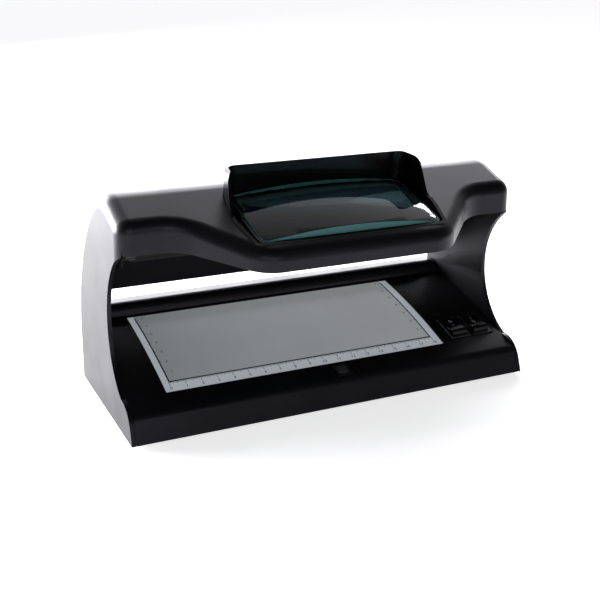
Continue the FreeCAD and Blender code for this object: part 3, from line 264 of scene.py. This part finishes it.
def scale_acrylic():
    """Opal acrylic: a milky grey field with painted shade darker towards its left end, a lighter margin,
    and a painted glow over the whole plate, which no lamp lights from inside.
    """
    def shader(tree):
        place = add(tree, "TexCoord").outputs["Object"]
        axes = add(tree, "SeparateXYZ", {"Vector": place}).outputs
        left = add(tree, "Math", {0: axes["X"], 1: SCALE_LEFT_X}, operation="LESS_THAN").outputs[0]
        right = add(tree, "Math", {0: axes["X"], 1: SCALE_RIGHT_X}, operation="GREATER_THAN").outputs[0]
        front = add(tree, "Math", {0: axes["Y"], 1: SCALE_FRONT_Y}, operation="LESS_THAN").outputs[0]
        sides = add(tree, "Math", {0: left, 1: right}, operation="MAXIMUM").outputs[0]
        margin = add(tree, "Math", {0: sides, 1: front}, operation="MAXIMUM").outputs[0]
        # Painted shade: the plate's milky grey is darker towards its left end and lighter to the right.
        painted_shade_fac = add(tree, "MapRange", {"Value": axes["X"], "From Min": PLATE_LOW.x,
                                      "From Max": PLATE_HIGH.x}).outputs["Result"]
        field = ramp(tree, painted_shade_fac, [(0.0, linear("#a3a8a9")), (0.35, linear("#bcc0c0")),
                                  (1.0, linear("#c4c7c8"))])
        cloud = add(tree, "TexNoise", {"Vector": object_place(tree, 45), "Scale": 1.0,
                                       "Detail": 3.0}).outputs["Fac"]
        mottled = add(tree, "Mix", {"Factor": 0.06, 6: field, 7: ramp(tree, cloud, [
            (0.35, linear("#8f969b")), (0.65, linear("#d9e2e6"))])}, data_type="RGBA").outputs[2]
        colour = add(tree, "Mix", {"Factor": margin, 6: mottled, 7: linear("#dbe2e8")},
                     data_type="RGBA").outputs[2]
        # The emission is painted light: the whole plate glows as if lit, though no lamp shines in it.
        return {"Base Color": colour, "Emission Color": colour, "Emission Strength": PLATE_PAINTED_GLOW,
                "Roughness": 0.3, "IOR": 1.49, "Coat Weight": 0.25,
                "Coat Roughness": 0.12, "Subsurface Weight": 0.15, "Subsurface Radius": [0.002] * 3,
                "Subsurface Scale": 0.5}
    return material("acrylic_opal", shader)


def ground_glass():
    """The lens's ground edge: frosted sea green, part clear."""
    def shader(tree):
        return {"Base Color": linear("#3c7a7a"), "Roughness": 0.6, "IOR": 1.52,
                "Transmission Weight": 0.35}
    return material("glass_ground_edge", shader)


def lacquer():
    """Black lacquer on the UV lamp's reflector sheet, outside and inside alike; on its inner face the
    black is painted shade standing in for the dark inside the hood, where bare metal would shine.
    """
    return material("steel_black_painted_shade", moulded("#0a0a0b", 0.5, 0.6, 0.01, 0.06, ETCHED_SPECULAR))


def black_ink():
    """Screen-printed epoxy ink: flat black, a little raised."""
    return material("print_ink_black", moulded("#23272b", 0.5, 0.2, 0.005))


def white_ink():
    """Pad-printed white ink on black plastic."""
    return material("print_ink_white", moulded("#dcdcdc", 0.5, 0.2, 0.005))


def rubber():
    """Soft black rubber of the feet: dull, faintly dusty."""
    return material("rubber_black", moulded("#1d1c1b", 0.8, 0.8, 0.05, 0.1))


def laminate():
    """Green solder mask over a glass-epoxy board, with a finely uneven face."""
    return material("fr4_green", moulded("#1d5a34", 0.35, 0.6, 0.02))


def ferrite():
    """Sintered ferrite and taped winding: dark, matt grey."""
    return material("ferrite_grey", moulded("#343234", 0.7, 0.3, 0.05))


def sleeve():
    """Shrink sleeve of an electrolytic can."""
    return material("pvc_sleeve_blue", moulded("#1c2a4a", 0.3, 1.2, 0.01))


def filter_glass():
    """Filter glass of a black-light lamp: almost black with a violet cast, and shiny."""
    return material("filter_glass_violet", moulded("#1c1430", 0.08, 6.0, 0.005, 0.02))


def phosphor_glass():
    """Phosphor-coated lamp glass: chalk white with a smooth shine."""
    return material("phosphor_glass_white", moulded("#eceae4", 0.15, 4.0, 0.005, 0.04))


def zinc():
    """Bright zinc plating on the screws and the head's core: a soft grey shine."""
    return material("steel_zinc_plated", metal("#b9bcbf", 0.32))


def aluminium():
    """Bright aluminium sheet of the reflector and the lamp caps, with long drawing marks."""
    return material("aluminium_bright_sheet", metal("#d6d8da", 0.2, (40, 0.4, 0.4)))


def brass():
    """Brass of the switch blades, inlet pins and head spring: warm, slightly dull."""
    return material("brass_plated", metal("#c9a45c", 0.28))


MATERIALS = {
    "housing_plastic": satin_abs(),
    "guard_plastic": gloss_abs(),
    "cover_plastic": matte_abs(),
    "lens_glass": tinted_glass(),
    "plate_acrylic": scale_acrylic(),
    "foot_rubber": rubber(),
    "screw_steel": zinc(),
    "switch_plastic": nylon_black(),
    "rocker_plastic": gloss_abs(),
    "contact_brass": brass(),
    "head_steel": zinc(),
    "circuit_board": laminate(),
    "uv_tube_glass": filter_glass(),
    "white_tube_glass": phosphor_glass(),
    "cap_metal": aluminium(),
    # The lampholders are black nylon; inside the hood their black also serves as painted shade.
    "holder_plastic": nylon_black(),
    # The UV reflector sheet is black all over; on its inner face the black is painted shade for the dark
    # inside the hood.
    "shield_lacquer": lacquer(),
    "reflector_sheet": aluminium(),
    "ferrite": ferrite(),
    "capacitor_sleeve": sleeve(),
    "connector_plastic": nylon_white(),
    "lead_insulation": nylon_black(),
}
BLACK_INK = black_ink()
WHITE_INK = white_ink()
SLOT_OF = {row["node"]: row["material_slot"] for row in frame["record"]["subparts"]}
BODY_OF = {node: body for body, nodes in frame["record"]["behaviour"]["bodies"].items()
           for node in nodes}


def dress(piece, surface):
    piece.data.materials.clear()
    piece.data.materials.append(surface)


def pick(piece):
    """Makes piece the only selected and the active object."""
    bpy.ops.object.select_all(action="DESELECT")
    piece.select_set(True)
    bpy.context.view_layer.objects.active = piece


def settle(piece):
    """Writes the piece's place into its mesh."""
    pick(piece)
    bpy.ops.object.transform_apply(location=True, rotation=True, scale=True)


def apply_modifier(piece, kind, **settings):
    pick(piece)
    modifier = piece.modifiers.new(kind.lower(), kind)
    for name, value in settings.items():
        setattr(modifier, name, value)
    bpy.ops.object.modifier_apply(modifier=modifier.name)


# ------------------------------------------------------------------ finished mouldings
def finished_copy(node, name, edge_mm):
    """A welded, smooth-shaded copy of a CAD node, its sharp edges broken by edge_mm."""
    source = frame["nodes"][node]
    piece = source.copy()
    piece.data = source.data.copy()
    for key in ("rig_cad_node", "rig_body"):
        del piece[key]
    piece.name = name
    piece.parent = None
    bpy.context.scene.collection.objects.link(piece)
    pick(piece)
    bpy.ops.object.mode_set(mode="EDIT")
    bpy.ops.mesh.select_all(action="SELECT")
    bpy.ops.mesh.customdata_custom_splitnormals_clear()
    bpy.ops.mesh.remove_doubles(threshold=WELD)
    bpy.ops.mesh.dissolve_limited(angle_limit=FLAT_ANGLE)
    bpy.ops.object.mode_set(mode="OBJECT")
    if edge_mm:
        apply_modifier(piece, "BEVEL", width=edge_mm * MM, segments=2, limit_method="ANGLE",
                       angle_limit=EDGE_ANGLE, harden_normals=False,
                       use_clamp_overlap=True)
    apply_modifier(piece, "TRIANGULATE")
    bpy.ops.object.shade_smooth_by_angle(angle=SMOOTH_ANGLE)
    # Weighted normals keep flat walls flat beside their broken edges; the curved lens keeps its own.
    if node != LENS_NODE:
        apply_modifier(piece, "WEIGHTED_NORMAL", mode="FACE_AREA", keep_sharp=True)
    dress(piece, MATERIALS[SLOT_OF[node]])
    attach(piece, BODY_OF[node])
    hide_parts(node)
    return piece


for node, cad_object in frame["nodes"].items():
    dress(cad_object, MATERIALS[SLOT_OF[node]])

FINISHED = {
    "hood_shell": ("hood_moulding", 0.5),
    "base_shell": ("base_moulding", 0.35),
    "lens_guard": ("guard_moulding", 0.45),
    LENS_NODE: ("ground_lens", 0.2),
    "measuring_plate": ("opal_plate", 0.25),
    "left_switch_housing": ("left_switch_frame", 0.0),
    "right_switch_housing": ("right_switch_frame", 0.0),
    "left_rocker": ("left_switch_key", 0.0),
    "right_rocker": ("right_switch_key", 0.0),
}
for node, (name, edge) in FINISHED.items():
    finished_copy(node, name, edge)


# ------------------------------------------------------------------ lens edge
def frost_lens_edge(lens):
    """Gives the upright faces of the ground lens their frosted finish."""
    lens.data.materials.append(ground_glass())
    for face in lens.data.polygons:
        if abs(face.normal.z) < UPRIGHT_NORMAL_Z:
            face.material_index = 1


frost_lens_edge(bpy.data.objects["ground_lens"])


# ------------------------------------------------------------------ printed scale
def bar(x0, x1, y0, y1, height):
    """A flat printed bar above the machine, to be laid down on what is below it."""
    bpy.ops.mesh.primitive_plane_add(size=1, location=((x0 + x1) / 2, (y0 + y1) / 2, height))
    piece = bpy.context.object
    piece.scale = (abs(x1 - x0), abs(y1 - y0), 1)
    settle(piece)
    return piece


def numeral(value, x, y, size, height):
    bpy.ops.object.text_add(location=(x, y, height))
    letters = bpy.context.object
    letters.data.body = str(value)
    letters.data.size = size
    letters.data.align_x = "CENTER"
    letters.data.align_y = "CENTER"
    bpy.ops.object.convert(target="MESH")
    settle(letters)
    return letters


def joined(pieces, name):
    bpy.ops.object.select_all(action="DESELECT")
    for piece in pieces:
        piece.select_set(True)
    bpy.context.view_layer.objects.active = pieces[0]
    if len(pieces) > 1:
        bpy.ops.object.join()
    pieces[0].name = name
    return pieces[0]


def split_long_edges(piece, times):
    pick(piece)
    bpy.ops.object.mode_set(mode="EDIT")
    bpy.ops.mesh.select_all(action="SELECT")
    bpy.ops.mesh.subdivide(number_cuts=times)
    bpy.ops.object.mode_set(mode="OBJECT")


def lay_down(piece, onto, surface):
    """Drops a flat print straight down onto a piece, lifted by the ink's thickness."""
    apply_modifier(piece, "SHRINKWRAP", target=onto, wrap_method="PROJECT", use_project_z=True,
                   use_negative_direction=True, use_positive_direction=False, offset=PRINT_LIFT)
    dress(piece, surface)


def scale_print():
    """Frame lines, millimetre and centimetre ticks and the centimetre numbers."""
    height = PLATE_HIGH.z + PRINT_START
    plate = bpy.data.objects["opal_plate"]
    back_y = arc_y(SCALE_DEPTH_CM * 10 * MM)
    lines = [bar(SCALE_LEFT_X, SCALE_RIGHT_X, SCALE_FRONT_Y, SCALE_FRONT_Y + LINE_W, height)]
    lines.append(bar(SCALE_LEFT_X, SCALE_LEFT_X + LINE_W, SCALE_FRONT_Y, back_y, height))
    lines.append(bar(SCALE_RIGHT_X - LINE_W, SCALE_RIGHT_X, SCALE_FRONT_Y, back_y, height))
    for line in lines:
        split_long_edges(line, LINE_CUTS)
    marks = []
    for step in range(SCALE_LENGTH_CM * 10 + 1):
        x = SCALE_LEFT_X + step * MM
        reach = CM_TICK if step % 10 == 0 else HALF_CM_TICK if step % 5 == 0 else MM_TICK
        marks.append(bar(x - TICK_W / 2, x + TICK_W / 2, SCALE_FRONT_Y - reach, SCALE_FRONT_Y, height))
    for step in range(SCALE_DEPTH_CM * 10 + 1):
        y = arc_y(step * MM)
        reach = SIDE_CM_TICK if step % 10 == 0 else SIDE_MM_TICK
        marks.append(bar(SCALE_LEFT_X, SCALE_LEFT_X + reach, y - TICK_W / 2, y + TICK_W / 2, height))
        marks.append(bar(SCALE_RIGHT_X - reach, SCALE_RIGHT_X, y - TICK_W / 2, y + TICK_W / 2, height))
    for centimetre in range(SCALE_LENGTH_CM + 1):
        x = SCALE_LEFT_X + centimetre * 10 * MM
        marks.append(numeral(centimetre, x, arc_y(FRONT_DIGIT_S), DIGIT, height))
    for centimetre in range(1, SCALE_DEPTH_CM + 1):
        y = arc_y(centimetre * 10 * MM - SIDE_DIGIT_BACK)
        marks.append(numeral(centimetre, SCALE_LEFT_X + LEFT_DIGIT_IN, y, DIGIT, height))
        marks.append(numeral(centimetre, SCALE_RIGHT_X - RIGHT_DIGIT_IN, y, DIGIT, height))
    printed = joined(lines + marks, "scale_print")
    lay_down(printed, plate, BLACK_INK)
    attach(printed, "root")


scale_print()


# ------------------------------------------------------------------ marks on the two keys
def ring_mark(x, y, height, radius):
    bpy.ops.mesh.primitive_circle_add(vertices=32, radius=radius, fill_type="NGON",
                                      location=(x, y, height))
    mark = bpy.context.object
    settle(mark)
    bpy.ops.object.mode_set(mode="EDIT")
    bpy.ops.mesh.select_all(action="SELECT")
    bpy.ops.mesh.inset(thickness=radius * RING_LINE_SHARE)
    bpy.ops.mesh.delete(type="FACE")
    bpy.ops.object.mode_set(mode="OBJECT")
    return mark


def key_marks(node, ring_back):
    """A ring and a dash: one on the key's back half, the other near its middle ridge."""
    low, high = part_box(node)
    key = bpy.data.objects[FINISHED[node][0]]
    x = (low.x + high.x) / 2
    back_y = low.y + (high.y - low.y) * BACK_MARK_SHARE
    near_y = low.y + (high.y - low.y) * RIDGE_MARK_SHARE
    above = high.z + MARK_START
    ring_y, bar_y = (back_y, near_y) if ring_back else (near_y, back_y)
    ring = ring_mark(x, ring_y, above, RING_RADIUS)
    half_x, half_y = (DASH_LONG, DASH_THIN) if ring_back else (DASH_THIN, DASH_LONG)
    stroke = bar(x - half_x, x + half_x, bar_y - half_y, bar_y + half_y, above)
    split_long_edges(stroke, DASH_CUTS)
    mark = joined([ring, stroke], node.replace("rocker", "key_marks"))
    lay_down(mark, key, WHITE_INK)
    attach(mark, BODY_OF[node])


key_marks("left_rocker", True)
key_marks("right_rocker", False)


# ------------------------------------------------------------------ stage, light and camera
def studio():
    """A lit white sweep in a room that is bright behind and dim in front, with three softboxes."""
    bpy.ops.mesh.primitive_plane_add(size=FLOOR_SIZE, location=(0, 0, 0))
    floor = bpy.context.object
    floor.name = "floor"
    dress(floor, lit_sweep())
    world = bpy.data.worlds.new("studio")
    world.use_nodes = True
    tree = world.node_tree
    background = tree.nodes["Background"]
    where = add(tree, "TexCoord").outputs["Generated"]
    axes = add(tree, "SeparateXYZ", {"Vector": where}).outputs
    back = add(tree, "MapRange", {"Value": axes["Y"], "From Min": -0.1, "From Max": 0.7,
                                  "To Min": 0.06, "To Max": 1.15}).outputs["Result"]
    overhead = add(tree, "MapRange", {"Value": axes["Z"], "From Min": 0.3, "From Max": 0.85,
                                      "To Min": 1.0, "To Max": 0.35}).outputs["Result"]
    strength = add(tree, "Math", {0: back, 1: overhead}, operation="MULTIPLY").outputs[0]
    tree.links.new(strength, background.inputs["Strength"])
    background.inputs["Color"].default_value = ROOM_COLOUR
    bpy.context.scene.world = world
    for box in SOFTBOXES:
        softbox(*box)


def lit_sweep():
    """White paper on a light table: its own glow keeps it even and the shadows thin."""
    made = material("paper_sweep_white", moulded("#f4f4f4", 0.9, 2.0, 0.01))
    surface = made.node_tree.nodes["Principled BSDF"]
    surface.inputs["Emission Color"].default_value = (1, 1, 1, 1)
    surface.inputs["Emission Strength"].default_value = PAPER_GLOW
    return made


def softbox(name, at, target, size, watts):
    light = bpy.data.lights.new(name, "AREA")
    light.shape = "RECTANGLE"
    light.size, light.size_y = size
    light.energy = watts
    light.color = SOFTBOX_COLOUR
    lamp = bpy.data.objects.new(name, light)
    lamp.location = at
    direction = Vector(target) - Vector(at)
    lamp.rotation_mode = "QUATERNION"
    lamp.rotation_quaternion = direction.to_track_quat("-Z", "Y")
    bpy.context.scene.collection.objects.link(lamp)


def camera():
    data = bpy.data.cameras.new("camera")
    data.sensor_width = EYE_SENSOR_MM
    data.lens = EYE_LENS_MM
    eye = bpy.data.objects.new("camera", data)
    turn = Matrix.Rotation(EYE_TURN, 4, "Z")
    tilt = Matrix.Rotation(EYE_TILT, 4, "X")
    roll = Matrix.Rotation(EYE_ROLL, 4, "Z")
    eye.matrix_world = Matrix.Translation(EYE_PLACE) @ turn @ tilt @ roll
    bpy.context.scene.collection.objects.link(eye)
    bpy.context.scene.camera = eye
    bpy.context.scene.view_settings.view_transform = "Standard"


studio()
camera()
